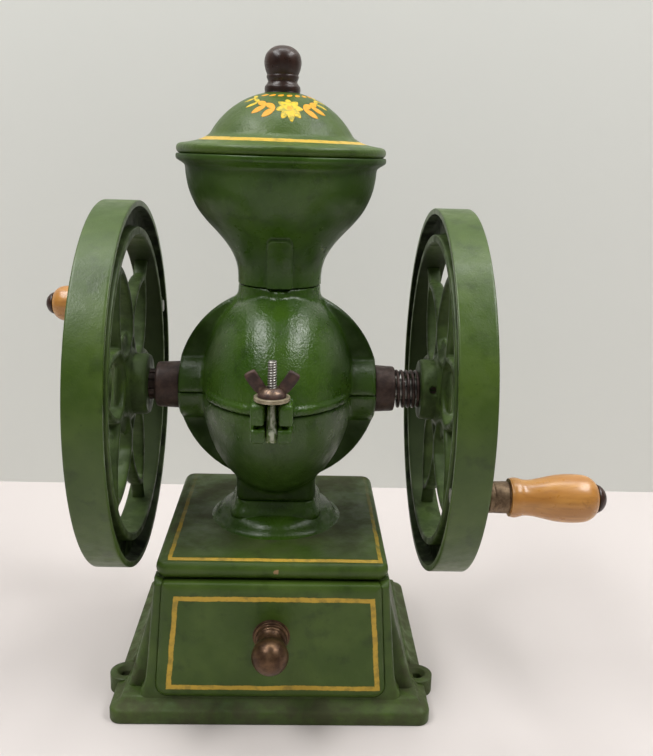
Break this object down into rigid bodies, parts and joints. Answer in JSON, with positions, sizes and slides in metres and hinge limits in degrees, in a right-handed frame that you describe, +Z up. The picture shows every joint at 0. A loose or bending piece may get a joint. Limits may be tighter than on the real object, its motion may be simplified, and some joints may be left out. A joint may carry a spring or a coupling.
{
  "type": "manual coffee grinder",
  "caption": "Counter-top manual coffee mill: flywheels with crank handles on a cross shaft, hinged ball-shaped grinding case, funnel hopper with domed lid, flared base with grounds drawer.",
  "frame": {"origin": "on the table, under the middle of the base", "axes": "+X along the shaft to the side with the thrust spring, -Y to the user and the drawer, +Z up"},
  "size_m": [0.4229, 0.273, 0.4703],
  "materials": {
    "green_enamel": "glossy, cast texture",
    "dark_iron": "brown, oiled",
    "plain_steel": "satin",
    "washer_metal": "dull, tan",
    "rusty_ferrule": "pitted, rusty",
    "honey_wood": "varnished",
    "dark_wood": "polished, dark",
    "bronze": "browned bronze",
    "tin_plate": "dull tinplate"
  },
  "bodies": {
    "stand": {"base_casting": "green_enamel", "foot_bolts": "plain_steel", "lower_housing": "green_enamel", "left_bush": "dark_iron", "right_bush": "dark_iron", "fixed_burr": "plain_steel", "fixed_burr_screws": "plain_steel", "swing_bolt_pin": "dark_iron", "hinge_pin": "dark_iron"},
    "drawer": {"drawer_front": "green_enamel", "drawer_tray": "tin_plate", "drawer_knob": "bronze", "drawer_knob_screw": "plain_steel", "drawer_screws": "plain_steel"},
    "crank": {"main_shaft": "plain_steel", "shaft_key": "plain_steel", "left_flywheel": "green_enamel", "right_flywheel": "green_enamel", "hub_set_screws": "dark_iron", "rotating_burr": "plain_steel", "feed_worm": "plain_steel", "thrust_spring": "dark_iron", "left_spindle": "plain_steel", "right_spindle": "plain_steel", "left_end_ball": "dark_wood", "right_end_ball": "dark_wood"},
    "left_handle": {"left_grip": "honey_wood", "left_ferrule": "rusty_ferrule"},
    "right_handle": {"right_grip": "honey_wood", "right_ferrule": "rusty_ferrule"},
    "adjuster": {"adjusting_nut": "dark_iron"},
    "upper_case": {"upper_housing": "green_enamel", "hopper": "green_enamel", "hopper_screw": "dark_iron"},
    "lid_unit": {"lid": "green_enamel", "lid_knob": "dark_wood", "lid_knob_screw": "plain_steel"},
    "clamp_bolt": {"swing_bolt": "plain_steel"},
    "nut_carrier": {"clamp_washer": "washer_metal"},
    "clamp_nut": {"wing_nut": "dark_iron"}
  },
  "joints": [
    {"name": "crank_spin", "type": "hinge", "parent": "stand", "child": "crank", "pos_m": [0, 0, 0.226], "axis": [1, 0, 0], "continuous": true},
    {"name": "left_grip_spin", "type": "hinge", "parent": "crank", "child": "left_handle", "pos_m": [-0.15, 0.11888, 0.26463], "axis": [1, 0, 0], "continuous": true},
    {"name": "right_grip_spin", "type": "hinge", "parent": "crank", "child": "right_handle", "pos_m": [0.16, -0.11888, 0.18737], "axis": [1, 0, 0], "continuous": true},
    {"name": "adjuster_turn", "type": "hinge", "parent": "crank", "child": "adjuster", "pos_m": [-0.094, 0, 0.226], "axis": [1, 0, 0], "range_deg": [-180, 180]},
    {"name": "drawer_slide", "type": "slide", "parent": "stand", "child": "drawer", "axis": [0, -1, 0], "range_m": [0, 0.12]},
    {"name": "upper_tilt", "type": "hinge", "parent": "stand", "child": "upper_case", "pos_m": [0, 0.092, 0.226], "axis": [-1, 0, 0], "range_deg": [0, 45]},
    {"name": "lid_lift", "type": "slide", "parent": "upper_case", "child": "lid_unit", "axis": [0, 0, 1], "range_m": [0, 0.06]},
    {"name": "bolt_swing", "type": "hinge", "parent": "stand", "child": "clamp_bolt", "pos_m": [-0.0018, -0.094, 0.219], "axis": [1, 0, 0], "range_deg": [0, 95]},
    {"name": "nut_lift", "type": "slide", "parent": "clamp_bolt", "child": "nut_carrier", "axis": [0, 0, 1], "range_m": [0, 0.16]},
    {"name": "wing_nut_spin", "type": "hinge", "parent": "nut_carrier", "child": "clamp_nut", "pos_m": [-0.0018, -0.094, 0.25], "axis": [0, 0, 1], "continuous": true}
  ],
  "couplings": [
    {"joint": "nut_lift", "follows": "upper_tilt", "m_per_rad": 0.2}
  ]
}
